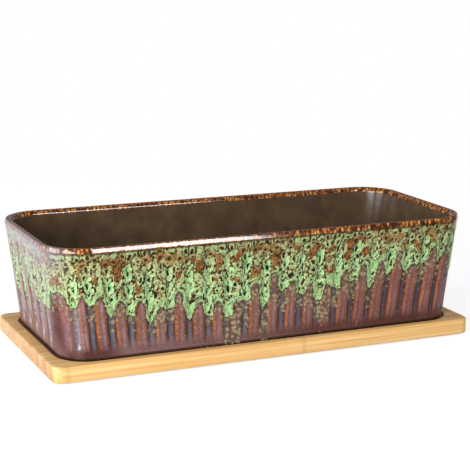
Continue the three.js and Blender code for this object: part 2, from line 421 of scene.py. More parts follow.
def glaze_scales(tips, arches):
    """The scales that the glaze lies in, each drawn over those before it: place, height of the middle, half
    width, half height, colour, and half the width and height of its dark eye. The colour goes from 0
    for rust over 0.5 for olive to 1 for mint."""
    chance = random.Random(11)
    scales = rib_scales(arches, chance) + groove_scales(tips, chance)
    scales += lip_scales(59.4, 6.4, (0.1, 0.22, 0.5, 0.75), 3.4, chance)
    scales += lip_scales(63.2, 4.6, (0.3, 0.5, 0.75, 0.85), 2.6, chance)
    return scales


def scale_fields(along, height, scales):
    """For each point the distance to the middle of its scale, 1 at the edge, the distance to that
    scale's eye, 1 at its edge too, and the scale's colour."""
    # Where no scale lies the glaze is olive, with no eye near
    away = np.full(along.shape, 0.6)
    eye_away = np.full(along.shape, 5.0)
    colour = np.full(along.shape, 0.5)
    for place, middle, half_width, half_height, scale_colour, eye in scales:
        near = np.abs(around_distance(STATIONS["along"], place)) < half_width + 4
        beside = around_distance(along[:, near], place)
        below = (middle - height[:, near]) / half_height
        narrowed = half_width * (1 - 0.45 * np.clip(below, 0, 1))
        own = np.hypot(beside / narrowed, below)
        eye_rise = height[:, near] - middle + 0.2 * half_height
        own_eye = np.hypot(beside / max(eye[0], 0.01), eye_rise / max(eye[1], 0.01))
        seen = own < 1.0 + SCALE_OUTLINE / half_width
        away[:, near] = np.where(seen, own, away[:, near])
        eye_away[:, near] = np.where(seen, np.minimum(own_eye, 5.0), eye_away[:, near])
        colour[:, near] = np.where(seen, scale_colour, colour[:, near])
    return away, eye_away, colour


def thin_glaze(tips, arches):
    """Where thin glaze ran on below the runs: their tips and arches, lower and a little narrower."""
    chance = random.Random(5)
    thin_tips = []
    for number, (place, tip, half) in enumerate(tips):
        drop = chance.uniform(2, 12) + (9 if number in THIN_RUNS else 0)
        thin_tips.append((place, tip - drop, 0.9 * half))
    thin_arches = []
    for number, (place, top, half) in enumerate(arches):
        drop = chance.choice((0, 3, 6, 10, 14)) + (11 if number in THIN_RUNS else 0)
        at_corner = half > 5
        thin_arches.append((place, top - (7 if at_corner else drop), 0.9 * half))
    return thin_tips, thin_arches


def stripe_fields(height, on_wall):
    """The flutes' turn and the painted highlights in the grooves, where the wall is striped: from the foot
    band up.
    The painted highlights lie in the outermost grooves of a long side and in all those of an end."""
    on_long = STATIONS["along_x"]
    striped = np.where(on_long, smoothstep(*LONG_STRIPES, height), smoothstep(*END_STRIPES, height))
    striped = striped * on_wall
    outermost = np.exp(-((np.abs(STATIONS["distance"]) - LONG_GROOVES[-1]) / 2.4) ** 2)
    # Where the painted lavender highlight lies: in the outermost grooves of a long side and in every groove
    # of an end
    pale_groove = np.where(on_long, 0.5 * outermost, FLUTE_DEPTH)
    return striped * FLUTE_COSINE, striped * FLUTE_SINE, striped * pale_groove


def glaze_fields(section):
    """The numbers that the glaze's colours are mixed from, for each ring and station of the pot."""
    heights = np.array([ring[0] for ring in section])
    parts = np.array([ring[2] for ring in section])[:, None]
    height = np.repeat(heights[:, None], len(STATIONS["along"]), axis=1)
    along = np.repeat(STATIONS["along"][None, :], len(section), axis=0)
    everywhere = np.ones_like(along)
    points = np.array([wall_ring(ring[0], ring[1]) for ring in section])
    sway = along + 1.0 * soft_noise(points, 7.0, 1) + 0.6 * soft_noise(points, 2.4, 2)
    rise = height + 2.2 * soft_noise(points, 7.0, 3) + 0.9 * soft_noise(points, 2.4, 4)
    tips, arches = groove_and_rib_places()
    outside = (parts == "wall") | (parts == "lip")
    cover, thin_cover = (
        np.where(outside, covered_depth(sway, rise, *edge), 20.0)
        for edge in ((tips, arches), thin_glaze(tips, arches))
    )
    inside = (parts == "inside") * everywhere
    lip = smoothstep(LIP_START, LIP_FACE_START, height) * (parts != "inside")
    scales = scale_fields(sway, rise, glaze_scales(tips, arches))
    stripes = stripe_fields(height, parts == "wall")
    return dict(zip(GLAZE_FIELDS, (cover, thin_cover, *scales, *stripes, height, inside, lip)))


def glaze_relief(fields):
    """How much the runs and their scales stand up from the wall, in mm."""
    run = RUN_RELIEF * smoothstep(-0.3, 1.3, fields["glaze_cover"])
    away = np.minimum(fields["scale"], 1.2)
    scale = SCALE_RELIEF * (1 - away) + EYE_RELIEF * np.exp(-fields["scale_eye"] ** 2)
    scale = scale * smoothstep(0.0, 1.0, fields["glaze_cover"])
    on_wall = (1 - fields["pot_lip"]) * (1 - fields["pot_inside"]) * smoothstep(1, 3, fields["pot_height"])
    return on_wall * (run + scale - WALL_INSET)


def lofted(rings):
    """A skin through rings of points, each extruded from the one before it. Its vertices carry
    the numbers of their ring and of their station."""
    bm = bmesh.new()
    ring_number = bm.verts.layers.int.new("ring")
    station_number = bm.verts.layers.int.new("station")
    verts = bmesh.ops.create_circle(bm, segments=len(rings[0]), radius=1)["verts"]
    for station, vert in enumerate(verts):
        vert[station_number] = station
    edges = bm.edges[:]
    loops = [edges]
    for number, ring in enumerate(rings):
        if number:
            made = bmesh.ops.extrude_edge_only(bm, edges=edges)["geom"]
            verts = [item for item in made if isinstance(item, bmesh.types.BMVert)]
            edges = [item for item in made if isinstance(item, bmesh.types.BMEdge) and item.is_boundary]
            loops.append(edges)
        for vert in verts:
            vert[ring_number] = number
            vert.co = ring[vert[station_number]]
    return bm, loops


def close_with_drains(bm, below, above, low, high, last_ring):
    """Closes the pot's floor between two loops, with its round drain holes."""
    ring_number = bm.verts.layers.int["ring"]
    circles = {low: [], high: []}
    for hole in range(DRAIN_HOLES):
        x = (hole - (DRAIN_HOLES - 1) / 2) * DRAIN_SPACING
        pair = []
        for level, number in ((low, 0), (high, last_ring)):
            place = Matrix.Translation((x, 0, level))
            made = bmesh.ops.create_circle(
                bm, segments=DRAIN_SIDES, radius=DRAIN_RADIUS, matrix=place,
            )["verts"]
            for vert in made:
                vert[ring_number] = number
            edges = list({edge for vert in made for edge in vert.link_edges})
            circles[level] += edges
            pair += edges
        bmesh.ops.bridge_loops(bm, edges=pair)
    bmesh.ops.triangle_fill(bm, edges=below + circles[low], use_beauty=True)
    bmesh.ops.triangle_fill(bm, edges=above + circles[high], use_beauty=True)


def finished(bm, name, materials, sharp=40):
    """A mesh object in metres from a bmesh in millimetres."""
    bmesh.ops.scale(bm, vec=(MM, MM, MM), verts=bm.verts)
    mesh = bpy.data.meshes.new(name)
    bm.to_mesh(mesh)
    bm.free()
    for material in materials:
        mesh.materials.append(material)
    mesh.shade_smooth()
    mesh.set_sharp_from_angle(angle=math.radians(sharp))
    piece = bpy.data.objects.new(name, mesh)
    bpy.context.scene.collection.objects.link(piece)
    return piece


def make_pot(glaze, clay):
    """The fluted pot. Its vertices carry the glaze's numbers of their ring and station."""
    section = pot_section()
    fields = glaze_fields(section)
    relief = glaze_relief(fields)
    rings = []
    for number, (height, inset, part) in enumerate(section):
        fluting = fluting_at(height) if part == "wall" else 0.0
        rings.append(wall_ring(height, inset, fluting, relief[number]))
    bm, loops = lofted(rings)
    low = POT_BOTTOM + FOOT_RING_HEIGHT
    high = POT_BOTTOM + FLOOR_HEIGHT
    close_with_drains(bm, loops[0], loops[-1], low, high, len(rings) - 1)
    bmesh.ops.recalc_face_normals(bm, faces=bm.faces)
    ring_number = bm.verts.layers.int["ring"]
    for face in bm.faces:
        if max(vert[ring_number] for vert in face.verts) <= LAST_CLAY_RING:
            face.material_index = 1
    pot = finished(bm, "glazed_pot", [glaze, clay])
    mesh = pot.data
    ring = np.zeros(len(mesh.vertices), dtype=np.int32)
    station = ring.copy()
    mesh.attributes["ring"].data.foreach_get("value", ring)
    mesh.attributes["station"].data.foreach_get("value", station)
    for name, field in fields.items():
        attribute = mesh.attributes.new(name, "FLOAT", "POINT")
        attribute.data.foreach_set("value", field[ring, station].astype(np.float32))
    for name in ("ring", "station"):
        mesh.attributes.remove(mesh.attributes[name])
    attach(pot, "pot")
    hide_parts("ceramic_pot")


def rounded_outline(length, width, radius, z, steps=10):
    """Points of a rounded rectangle at a height, anticlockwise from above."""
    points = []
    for corner in range(4):
        sign_x = 1 if corner in (0, 1) else -1
        sign_y = 1 if corner in (1, 2) else -1
        centre = (sign_x * (length / 2 - radius), sign_y * (width / 2 - radius))
        for step in range(steps + 1):
            angle = (corner - 1 + step / steps) * math.pi / 2
            points.append((centre[0] + radius * math.cos(angle), centre[1] + radius * math.sin(angle), z))
    return points


def make_tray(bamboo):
    """One board with rounded edges and a shallow recess for the pot's foot."""
    low, high = (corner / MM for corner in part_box("bamboo_tray"))
    length = high.x - low.x
    width = high.y - low.y
    turns = np.linspace(0, math.pi / 2, 5)
    edge = [(TRAY_EDGE * (1 - math.sin(turn)), TRAY_EDGE * (1 - math.cos(turn))) for turn in turns]
    side = [(inset, low.z + rise) for inset, rise in edge]
    side += [(inset, high.z - rise) for inset, rise in reversed(edge)]
    rings = [
        rounded_outline(length - 2 * inset, width - 2 * inset, TRAY_CORNER - inset, z) for inset, z in side
    ]
    seat = outline_at(RECESS_DEPTH, -RECESS_CLEARANCE)
    mouth = outline_at(RECESS_DEPTH, -RECESS_CLEARANCE - RECESS_CHAMFER)
    rings.append(rounded_outline(*mouth, high.z))
    rings.append(rounded_outline(*seat, high.z - RECESS_CHAMFER))
    rings.append(rounded_outline(*seat, high.z - RECESS_DEPTH))
    bm, loops = lofted(rings)
    bmesh.ops.edgeloop_fill(bm, edges=loops[0])
    bmesh.ops.edgeloop_fill(bm, edges=loops[-1])
    bmesh.ops.recalc_face_normals(bm, faces=bm.faces)
    tray = finished(bm, "bamboo_board", [bamboo], sharp=35)
    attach(tray, "tray")
    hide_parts("bamboo_tray")


def make_pads(rubber):
    """Four round pads under the tray, with a rounded lower edge."""
    for node in ("tray_pad_front_left", "tray_pad_front_right", "tray_pad_back_left", "tray_pad_back_right"):
        low, high = (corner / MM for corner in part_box(node))
        radius = (high.x - low.x) / 2
        middle = (low + high) / 2
        bm = bmesh.new()
        bmesh.ops.create_cone(
            bm, cap_ends=True, segments=PAD_SIDES, radius1=radius, radius2=radius, depth=high.z - low.z,
            matrix=Matrix.Translation(middle),
        )
        lower = [edge for edge in bm.edges if all(vert.co.z < middle.z for vert in edge.verts)]
        bmesh.ops.bevel(bm, geom=lower, offset=PAD_EDGE, segments=3, profile=0.5, affect="EDGES", material=-1)
        pad = finished(bm, node.replace("tray_pad", "rubber_pad"), [rubber])
        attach(pad, "tray")
        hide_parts(node)


def make_screens(netting):
    """Square meshes of moulded strands with rounded corners, one over each drain hole. The outermost
    strands are half as wide as the others."""
    for hole in range(1, DRAIN_HOLES + 1):
        node = f"drain_screen_{hole}"
        low, high = (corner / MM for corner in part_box(node))
        edge = (high.x - low.x - SCREEN_STRAND) / 2
        bm = bmesh.new()
        bmesh.ops.create_grid(bm, x_segments=SCREEN_GAPS, y_segments=SCREEN_GAPS, size=edge)
        gaps = bm.faces[:]
        bmesh.ops.inset_individual(bm, faces=gaps, thickness=SCREEN_STRAND / 2, use_even_offset=True)
        bmesh.ops.delete(bm, geom=gaps, context="FACES_ONLY")
        corners = [vert for vert in bm.verts if min(abs(vert.co.x), abs(vert.co.y)) > edge - 0.01]
        bmesh.ops.bevel(
            bm, geom=corners, offset=SCREEN_CORNER_CUT, segments=4, profile=0.5, affect="VERTICES",
            material=-1,
        )
        bmesh.ops.recalc_face_normals(bm, faces=bm.faces)
        made = bmesh.ops.extrude_face_region(bm, geom=bm.faces[:])["geom"]
        raised = [item for item in made if isinstance(item, bmesh.types.BMVert)]
        bmesh.ops.translate(bm, vec=(0, 0, high.z - low.z), verts=raised)
        place = Matrix.Translation(((low.x + high.x) / 2, (low.y + high.y) / 2, low.z))
        bmesh.ops.transform(bm, matrix=place, verts=bm.verts)
        bmesh.ops.recalc_face_normals(bm, faces=bm.faces)
        screen = finished(bm, f"mesh_screen_{hole}", [netting])
        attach(screen, f"screen_{hole}")
        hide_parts(node)


def add(tree, kind, inputs=None, stops=None, **settings):
    """Adds a shader node and gives its first output in use. An input is a value, a colour such as 'b4d8a0',
    or the output that it is linked from, and the stops of a colour ramp are places with their colours."""
    made = tree.nodes.new("ShaderNode" + kind)
    for name, value in settings.items():
        setattr(made, name, value)
    for name, value in (inputs or {}).items():
        if isinstance(value, bpy.types.NodeSocket):
            tree.links.new(value, made.inputs[name])
        else:
            made.inputs[name].default_value = linear(value) if isinstance(value, str) else value
    if stops:
        elements = made.color_ramp.elements
        elements.remove(elements[1])
        elements[0].position = stops[0][0]
        elements[0].color = linear(stops[0][1])
        for place, hex_colour in stops[1:]:
            elements.new(place).color = linear(hex_colour)
    return next((output for output in made.outputs if output.enabled), None)


def new_material(name):
    """An empty material and its node tree."""
    material = bpy.data.materials.new(name)
    material.use_nodes = True
    material.node_tree.nodes.clear()
    return material, material.node_tree


def millimetres(tree):
    """The object's own coordinates in millimetres, for patterns with real sizes."""
    place = add(tree, "TexCoord").node.outputs["Object"]
    return add(tree, "VectorMath", {0: place, 1: (1 / MM, 1 / MM, 1 / MM)}, operation="MULTIPLY")


def pot_patterns(tree):
    """What the glaze's colours are mixed from: the numbers that the pot's vertices carry, and noises, which
    are clouds of 12 mm, upright streaks 2 mm wide, grain of 2.8 mm and lace of 1.3 mm."""
    mm = millimetres(tree)
    upright = add(tree, "VectorMath", {0: mm, 1: (1, 1, 0.16)}, operation="MULTIPLY")
    noises = {
        "cloud": {"Vector": mm, "Scale": 1 / 12, "Detail": 2},
        "streak": {"Vector": upright, "Scale": 1 / 2.2, "Detail": 3},
        "grain": {"Vector": mm, "Scale": 1 / 2.8, "Detail": 3, "Roughness": 0.6},
        "lace": {"Vector": mm, "Scale": 1 / 1.3, "Detail": 3, "Roughness": 0.6},
    }
    pot = SimpleNamespace(mm=mm)
    for name in GLAZE_FIELDS:
        field = add(tree, "Attribute", attribute_name=name).node.outputs["Fac"]
        setattr(pot, name.removeprefix("pot_"), field)
    for name, inputs in noises.items():
        setattr(pot, name, add(tree, "TexNoise", inputs))
    pot.wave = add(tree, "Math", {0: pot.lace, 1: 0.5}, operation="SUBTRACT")
    pot.specks = add(tree, "TexVoronoi", {"Vector": mm, "Scale": 1 / 2.3, "Randomness": 1.0}).node.outputs
    pot.near_lip = add(tree, "MapRange", {"Value": pot.height, "From Min": 54.0, "From Max": 60.0})

    # The share of the planter's length, from 0 at the left to 1 at the right
    x = add(tree, "SeparateXYZ", {0: mm})
    pot.lengthwise = add(tree, "MapRange", {"Value": x, "From Min": -140.0, "From Max": 140.0})
    return pot


def striped_glaze(tree, pot):
    """Stripes across the flutes, from the middle of one rib to the next: mauve with a pale line that is a
    painted highlight, thin rust, painted shade at the groove's edge, slate in the groove, painted shade at
    its other edge, broad rust, mauve. They turn browner from left to right, and darker as painted shade."""
    turn = add(tree, "Math", {0: pot.flute_sine, 1: pot.flute_cosine}, operation="ARCTAN2")
    sway = add(tree, "MapRange", {
        "Value": pot.streak, "From Min": 0.3, "From Max": 0.7, "To Min": 0.47, "To Max": 0.53,
    })
    across = add(tree, "Math", {0: turn, 1: 0.5 / math.pi, 2: sway}, operation="MULTIPLY_ADD")
    # The pale stop near the rib's middle is a painted highlight, and the dark stops beside the slate are
    # painted shade
    stripes = add(tree, "ValToRGB", {"Fac": across}, stops=[
        (0.0, "866668"), (0.06, "9c858b"), (0.13, "846869"), (0.18, "8a5645"), (0.25, "6e4438"),
        (0.32, "3a2a2b"), (0.39, "545862"), (0.5, "687078"), (0.6, "565a66"), (0.66, "33272a"),
        (0.71, "7a4228"), (0.77, "a4583a"), (0.83, "985a42"), (0.88, "7a5650"), (0.94, "806468"),
        (1.0, "866668"),
    ])
    # Browner stripes for the right, with darker slate and ribs as painted shade
    right_stripes_and_shade = add(tree, "ValToRGB", {"Fac": across}, stops=[
        (0.0, "825c5e"), (0.08, "8c686c"), (0.16, "7c4c42"), (0.23, "94644c"), (0.3, "7a4a3a"),
        (0.36, "38282a"), (0.44, "484c56"), (0.56, "464650"), (0.63, "38282a"), (0.69, "7c4630"),
        (0.76, "a2684a"), (0.83, "8c574a"), (0.92, "7c5456"), (1.0, "825c5e"),
    ])
    to_right = add(tree, "MapRange", {"Value": pot.lengthwise, "From Min": 0.45, "From Max": 0.7})

    # Hot flecks in the broad rust, fewer at the right
    flecks = add(tree, "MapRange", {"Value": pot.lace, "From Min": 0.47, "From Max": 0.6, "To Max": 0.85})
    past_groove = add(tree, "MapRange", {"Value": across, "From Min": 0.7, "From Max": 0.77})
    before_rib = add(tree, "MapRange", {"Value": across, "From Min": 0.9, "From Max": 0.85})
    fewer = add(tree, "Math", {0: to_right, 1: -0.55, 2: 1.0}, operation="MULTIPLY_ADD")
    for limit in (past_groove, before_rib, fewer):
        flecks = add(tree, "Math", {0: flecks, 1: limit}, operation="MULTIPLY")
    for share, paint in ((to_right, right_stripes_and_shade), (flecks, "c88a56")):
        stripes = add(tree, "Mix", {0: share, 6: stripes, 7: paint}, data_type="RGBA")
    return stripes


def plain_wall(tree, pot):
    """The wall before any run covers it: plum at the corners, stripes on the flutes, and a painted lavender
    highlight in the grooves of the ends and in those next to the corners. Along the foot lies a plain band
    with painted light and shade, lighter at the left and darker at the left corner and towards the right,
    with a painted contact shadow under it."""
    wall = add(tree, "ValToRGB", {"Fac": pot.cloud}, stops=[
        (0.35, "522d2a"), (0.5, "5c3532"), (0.65, "643e3b"),
    ])

    # The flutes' turn is a vector, and the stripes fade as it gets shorter, and a little in clouds
    striped = add(tree, "Math", {0: pot.flute_cosine, 1: pot.flute_cosine}, operation="MULTIPLY")
    striped = add(tree, "Math", {0: pot.flute_sine, 1: pot.flute_sine, 2: striped}, operation="MULTIPLY_ADD")
    fading = add(tree, "MapRange", {
        "Value": pot.cloud, "From Min": 0.35, "From Max": 0.65, "To Min": 1.0, "To Max": 0.6,
    })
    striped = add(tree, "Math", {0: striped, 1: fading}, operation="MULTIPLY")
    # A painted lavender highlight in those grooves
    lavender_highlight = add(tree, "Math", {0: pot.pale_groove, 1: 0.8}, operation="MULTIPLY")

    foot = add(tree, "Math", {0: pot.cloud, 1: 14.0, 2: pot.height}, operation="MULTIPLY_ADD")
    foot = add(tree, "MapRange", {
        "Value": foot, "From Min": 8.5, "From Max": 22.5, "To Min": 0.74, "To Max": 0.0,
    }, interpolation_type="SMOOTHSTEP")
    # The foot band's plum tone with painted light and shade along the length: lighter at the left end and on
    # the left of the front, darker at the left corner and towards the right
    foot_tone_lit_and_shaded = add(tree, "ValToRGB", {"Fac": pot.lengthwise}, stops=[
        (0.03, "8a7278"), (0.05, "482622"), (0.12, "4a2824"), (0.17, "86686a"), (0.42, "785a58"),
        (0.62, "56362d"), (1.0, "442822"),
    ])
    # A painted contact shadow: dark along the bottom of the wall, where it meets the tray
    line = add(tree, "MapRange", {"Value": pot.height, "From Min": 3.4, "From Max": 2.6, "To Max": 0.9})
    layers = (
        (striped, striped_glaze(tree, pot)),
        (lavender_highlight, "c0acba"),
        (foot, foot_tone_lit_and_shaded),
        (line, "2a140e"),
    )
    for share, paint in layers:
        wall = add(tree, "Mix", {0: share, 6: wall, 7: paint}, data_type="RGBA")
    return add(tree, "VectorMath", {0: wall, 1: (0.96, 0.95, 0.95)}, operation="MULTIPLY")


def speck_layers(tree, pot):
    """Sand and sage specks of about 1 mm, as shares and colours to lay over the wall: each has a dark rim
    and a dark heart. They lie thicker near the runs and in trails below them."""
    crowd = add(tree, "MapRange", {
        "Value": pot.glaze_cover, "From Min": -20.0, "From Max": 0.0, "To Min": 0.14, "To Max": 0.52,
    })
    crowd = add(tree, "Math", {0: pot.streak, 1: -0.95, 2: crowd}, operation="MULTIPLY_ADD")
    crowd = add(tree, "Math", {0: pot.cloud, 1: 0.6, 2: crowd}, operation="MULTIPLY_ADD")
    depth = add(tree, "Math", {0: crowd, 1: pot.specks["Distance"]}, operation="SUBTRACT")
    sand_or_sage = add(tree, "ValToRGB", {"Fac": pot.specks["Color"]}, stops=[
        (0.0, "b87c5a"), (0.4, "a6765a"), (0.7, "9c8c70"), (0.95, "bc9884"),
    ])
    rings = ((-0.22, -0.06, 0.5, "3a241c"), (-0.04, 0.14, 0.62, sand_or_sage), (0.1, 0.24, 0.7, "4a3426"))
    layers = []
    for start, end, most, paint in rings:
        share = add(tree, "MapRange", {"Value": depth, "From Min": start, "From Max": end, "To Max": most})
        layers.append((share, paint))
    return layers


def mottled_wall(tree, pot):
    """The wall with what breaks it up below the runs: mottled rust on the ribs for the last centimetre,
    specks, and thin glaze that ran on and set in pale rings with dark hearts, as far apart as the specks."""
    rust = add(tree, "MapRange", {
        "Value": pot.glaze_cover, "From Min": -10.0, "From Max": -1.0, "To Max": 0.6,
    })
    mottled = add(tree, "MapRange", {"Value": pot.grain, "From Min": 0.38, "From Max": 0.6})
    on_rib = add(tree, "MapRange", {"Value": pot.flute_cosine, "From Min": 0.2, "From Max": -0.5})
    for limit in (mottled, on_rib):
        rust = add(tree, "Math", {0: rust, 1: limit}, operation="MULTIPLY")

    thin = add(tree, "Math", {0: pot.grain, 1: 0.5}, operation="SUBTRACT")
    thin = add(tree, "Math", {0: thin, 1: 14.0, 2: pot.thin_cover}, operation="MULTIPLY_ADD")
    thin = add(tree, "MapRange", {"Value": thin, "From Min": -0.5, "From Max": 1.5})
    thin = add(tree, "Math", {0: thin, 1: 0.62}, operation="MULTIPLY")
    rings = add(tree, "ValToRGB", {"Fac": pot.specks["Distance"]}, stops=[
        (0.08, "3a241c"), (0.2, "9c9672"), (0.32, "acaa82"), (0.46, "766c54"), (0.65, "54443c"),
    ])
    wall = plain_wall(tree, pot)
    for share, paint in ((rust, "9a5a3c"), *speck_layers(tree, pot), (thin, rings)):
        wall = add(tree, "Mix", {0: share, 6: wall, 7: paint}, data_type="RGBA")
    return wall


def scaly_runs(tree, pot):
    """The runs' scales, wavy at their edges: caramel, some of them amber, olive or mint. Each has a dark
    outline, which is bolder near the lip."""
    waved = add(tree, "Math", {0: pot.wave, 1: 0.5, 2: pot.scale}, operation="MULTIPLY_ADD")
    waved = add(tree, "Math", {0: pot.near_lip, 1: 0.09, 2: waved}, operation="MULTIPLY_ADD")
    ramps = ([
        (0.1, "ac6e42"), (0.4, "94562e"), (0.7, "7a4626"), (0.88, "8a6c42"), (0.95, "4c2c0e"), (1, "241209"),
    ], [
        (0, "94905f"), (0.35, "a4a872"), (0.65, "98a06a"), (0.84, "babf8c"), (0.95, "6c5a2e"), (1, "38220f"),
    ], [
        (0, "7cb26e"), (0.4, "88bc7a"), (0.7, "98c484"), (0.88, "b6d298"), (0.95, "646430"), (1, "24180a"),
    ])
    runs, olive, mint = (add(tree, "ValToRGB", {"Fac": waved}, stops=stops) for stops in ramps)
    to_amber, pot.to_olive, to_mint = (
        add(tree, "MapRange", {"Value": pot.scale_colour, "From Min": start, "From Max": end, "To Max": most})
        for start, end, most in ((0.05, 0.2, 0.7), (0.2, 0.35, 1.0), (0.55, 1.0, 1.0))
    )

    # Near the edge of a run every scale is mint here and there
    near_edge = add(tree, "MapRange", {
        "Value": pot.glaze_cover, "From Min": 5.0, "From Max": 1.5, "To Min": -0.9, "To Max": 0.6,
    })
    near_edge = add(tree, "Math", {0: pot.grain, 1: 1.6, 2: near_edge}, operation="MULTIPLY_ADD")
    near_edge = add(tree, "MapRange", {"Value": near_edge, "From Min": 1.2, "From Max": 1.5})
    pot.to_mint = add(tree, "Math", {0: to_mint, 1: near_edge}, operation="MAXIMUM")
    for share, paint in ((to_amber, "a07c46"), (pot.to_olive, olive), (pot.to_mint, mint)):
        runs = add(tree, "Mix", {0: share, 6: runs, 7: paint}, data_type="RGBA")
    return runs


def pit_layers(tree, pot):
    """A lace of dark pits 1.4 mm apart, as shares and colours to lay over the runs: the pits are fainter
    here and there, on mint and near the lip. Between them lie pale ridges on olive."""
    place = add(tree, "VectorMath", {0: pot.mm, 1: (1, 1, 0.8)}, operation="MULTIPLY")
    away = add(tree, "TexVoronoi", {"Vector": place, "Scale": 1 / 1.4, "Randomness": 1.0})
    pit = add(tree, "MapRange", {"Value": away, "From Min": 0.52, "From Max": 0.28})
    fainter = add(tree, "MapRange", {
        "Value": pot.grain, "From Min": 0.4, "From Max": 0.6, "To Min": 1.0, "To Max": 0.4,
    })
    fainter = add(tree, "Math", {0: pot.to_mint, 1: -0.45, 2: fainter}, operation="MULTIPLY_ADD")
    fainter = add(tree, "Math", {0: fainter, 1: 0.12}, operation="MAXIMUM")
    calmer = add(tree, "Math", {0: pot.near_lip, 1: -0.4, 2: 1.0}, operation="MULTIPLY_ADD")
    for limit in (fainter, calmer):
        pit = add(tree, "Math", {0: pit, 1: limit}, operation="MULTIPLY")
    ridge = add(tree, "MapRange", {"Value": away, "From Min": 0.5, "From Max": 0.7, "To Max": 0.25})
    ridge = add(tree, "Math", {0: ridge, 1: pot.to_olive}, operation="MULTIPLY")
    return (pit, "281b06"), (ridge, "cadaa2")


def pitted_runs(tree, pot):
    """The runs with dark folds about 1.8 mm apart that follow their edges, with pits, and with the scales'
    eyes, which are black on mint and brown on olive, and bolder near the lip. Their edge has a broken pale
    rim."""
    runs = scaly_runs(tree, pot)
    fold = add(tree, "Math", {0: pot.glaze_cover, 1: 0.55, 2: pot.grain}, operation="MULTIPLY_ADD")
    fold = add(tree, "Math", {0: fold}, operation="FRACT")
    fold = add(tree, "MapRange", {"Value": fold, "From Min": 0.32, "From Max": 0.08, "To Max": 0.66})
    broken = add(tree, "MapRange", {"Value": pot.lace, "From Min": 0.42, "From Max": 0.54})
    fold = add(tree, "Math", {0: fold, 1: broken}, operation="MULTIPLY")

    eye = add(tree, "Math", {0: pot.wave, 1: 0.8, 2: pot.scale_eye}, operation="MULTIPLY_ADD")
    eye = add(tree, "Math", {0: pot.near_lip, 1: -0.3, 2: eye}, operation="MULTIPLY_ADD")
    eye = add(tree, "MapRange", {"Value": eye, "From Min": 1.2, "From Max": 0.9})
    eye_colour = add(tree, "Mix", {0: pot.to_mint, 6: "382016", 7: "0a100b"}, data_type="RGBA")

    rim = add(tree, "MapRange", {
        "Value": pot.waved_cover, "From Min": 1.4, "From Max": 0.5, "To Max": 0.6,
    }, interpolation_type="SMOOTHSTEP")
    rim = add(tree, "Math", {0: rim, 1: pot.to_mint}, operation="MULTIPLY")
    for share, paint in ((fold, "3a3012"), *pit_layers(tree, pot), (eye, eye_colour), (rim, "a8c68c")):
        runs = add(tree, "Mix", {0: share, 6: runs, 7: paint}, data_type="RGBA")
    return runs


def lip_layers(tree, pot):
    """What changes towards the lip, as shares and colours to lay over the rest: the glaze turns browner,
    with a dark line under the lip. The lip has rust and amber beads about 1.9 mm apart, the upper part of
    the left end has a painted pale sheen, and inside the glaze lies smooth, olive brown and a little cloudy."""
    browner = add(tree, "MapRange", {"Value": pot.height, "From Min": 50.0, "From Max": 62.0, "To Max": 0.15})
    line = add(tree, "MapRange", {"Value": pot.height, "From Min": 63.9, "From Max": 65.0, "To Max": 0.8})
    place = add(tree, "VectorMath", {0: pot.mm, 1: (1, 1, 0.4)}, operation="MULTIPLY")
    away = add(tree, "TexVoronoi", {"Vector": place, "Scale": 1 / 1.9, "Randomness": 0.9})
    beads = add(tree, "ValToRGB", {"Fac": away}, stops=[
        (0.06, "e8c486"), (0.18, "c88e48"), (0.36, "9e5e28"), (0.55, "643616"), (0.75, "381a0a"),
    ])
    # A painted pale sheen, as a reflection, on the upper part of the left end
    at_end = add(tree, "MapRange", {"Value": pot.lengthwise, "From Min": 0.05, "From Max": 0.015})
    end_sheen = add(tree, "MapRange", {"Value": pot.height, "From Min": 32.0, "From Max": 64.0, "To Max": 0.5})
    end_sheen = add(tree, "Math", {0: end_sheen, 1: at_end}, operation="MULTIPLY")
    smooth = add(tree, "ValToRGB", {"Fac": pot.cloud}, stops=[
        (0.3, "4a3a2c"), (0.5, "544232"), (0.7, "5c4b38"),
    ])
    return (browner, "6a4a22"), (line, "341a08"), (pot.lip, beads), (end_sheen, "948a96"), (pot.inside, smooth)


def reactive_glaze():
    """Stoneware under a reactive glaze fired until it ran: plum on the wall, rust where it broke thin on
    the ribs, slate in the grooves, and mint runs with dark pools over it. Its glass skin is glossy."""
    material, tree = new_material("reactive_glaze_stoneware")
    pot = pot_patterns(tree)

    # A run's edge waves with the lace, and a thin dark line lies outside it
    pot.waved_cover = add(tree, "Math", {0: pot.wave, 1: 3.0, 2: pot.glaze_cover}, operation="MULTIPLY_ADD")
    line = add(tree, "MapRange", {
        "Value": pot.waved_cover, "From Min": -1.0, "From Max": -0.3, "To Max": 0.85,
    })
    covered = add(tree, "MapRange", {"Value": pot.waved_cover, "From Min": -0.2, "From Max": 0.2})
    colour = mottled_wall(tree, pot)
    for share, paint in ((line, "2a1a12"), (covered, pitted_runs(tree, pot)), *lip_layers(tree, pot)):
        colour = add(tree, "Mix", {0: share, 6: colour, 7: paint}, data_type="RGBA")
    ripple = add(tree, "MapRange", {"Value": pot.lip, "To Min": 0.12, "To Max": 0.0})
    skin = add(tree, "Bump", {"Height": pot.grain, "Strength": ripple, "Distance": 0.25 * MM})
    gloss = add(tree, "MapRange", {"Value": pot.lip, "To Min": 0.18, "To Max": 0.08})
    shader = add(tree, "BsdfPrincipled", {
        "Base Color": colour, "Roughness": gloss, "IOR": 1.5, "Normal": skin,
    })
    add(tree, "OutputMaterial", {"Surface": shader})
    return material


def clouded(name, lump, dark, light, roughness, ior):
    """A material of one tone with soft clouds in it, as large as the lump, in millimetres."""
    material, tree = new_material(name)
    clouds = add(tree, "TexNoise", {"Vector": millimetres(tree), "Scale": 1 / lump, "Detail": 2})
    colour = add(tree, "ValToRGB", {"Fac": clouds}, stops=[(0.3, dark), (0.7, light)])
    shader = add(tree, "BsdfPrincipled", {"Base Color": colour, "Roughness": roughness, "IOR": ior})
    add(tree, "OutputMaterial", {"Surface": shader})
    return material


